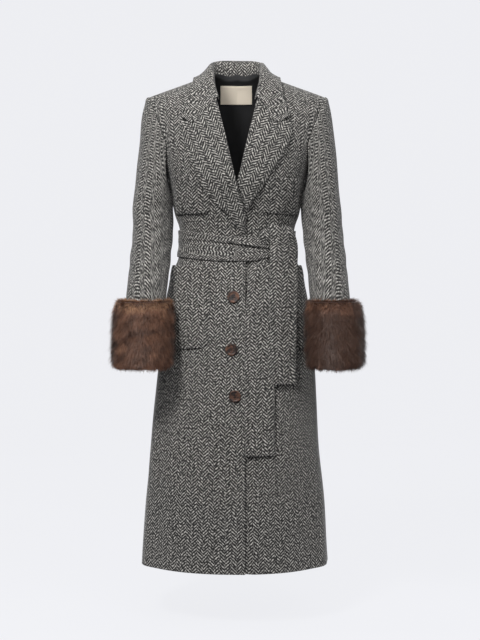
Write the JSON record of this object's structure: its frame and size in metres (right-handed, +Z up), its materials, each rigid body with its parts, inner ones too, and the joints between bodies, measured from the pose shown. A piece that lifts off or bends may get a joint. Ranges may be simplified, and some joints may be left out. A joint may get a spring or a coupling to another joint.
{
  "type": "belted herringbone coat",
  "caption": "Long belted herringbone wool coat in its worn form, with notched lapels, patch pockets, sash belt and fur cuffs, hollow and open at neck, hem and cuffs.",
  "frame": {"origin": "on the centre plane at the height where the wearer's shoulders carry the coat, level with the base of the neck", "axes": "+Z up along the coat's length, +X to the wearer's left, -Y to the coat's front"},
  "size_m": [0.587, 0.3662, 1.1965],
  "materials": {
    "wool_herringbone": "black and cream herringbone wool coating, soft nap",
    "fur": "dense brown fur with lighter tips",
    "button_horn": "dark brown horn look, polished",
    "lining": "black satin lining",
    "label_cloth": "beige woven label, blank"
  },
  "bodies": {
    "root": {"back_panel": "wool_herringbone", "front_right": "wool_herringbone", "front_left": "wool_herringbone", "collar": "wool_herringbone", "lapel_right": "wool_herringbone", "lapel_left": "wool_herringbone", "sleeve_right_top": "wool_herringbone", "sleeve_right_under": "wool_herringbone", "sleeve_left_top": "wool_herringbone", "sleeve_left_under": "wool_herringbone", "chest_pocket_right": "wool_herringbone", "chest_pocket_left": "wool_herringbone", "hip_pocket_right": "wool_herringbone", "hip_pocket_left": "wool_herringbone", "belt_band": "wool_herringbone", "belt_knot": "wool_herringbone", "belt_tail_front": "wool_herringbone", "belt_tail_back": "wool_herringbone", "cuff_right": "fur", "cuff_left": "fur", "button_1": "button_horn", "button_2": "button_horn", "button_3": "button_horn", "lining_back": "lining", "label": "label_cloth"}
  },
  "joints": []
}
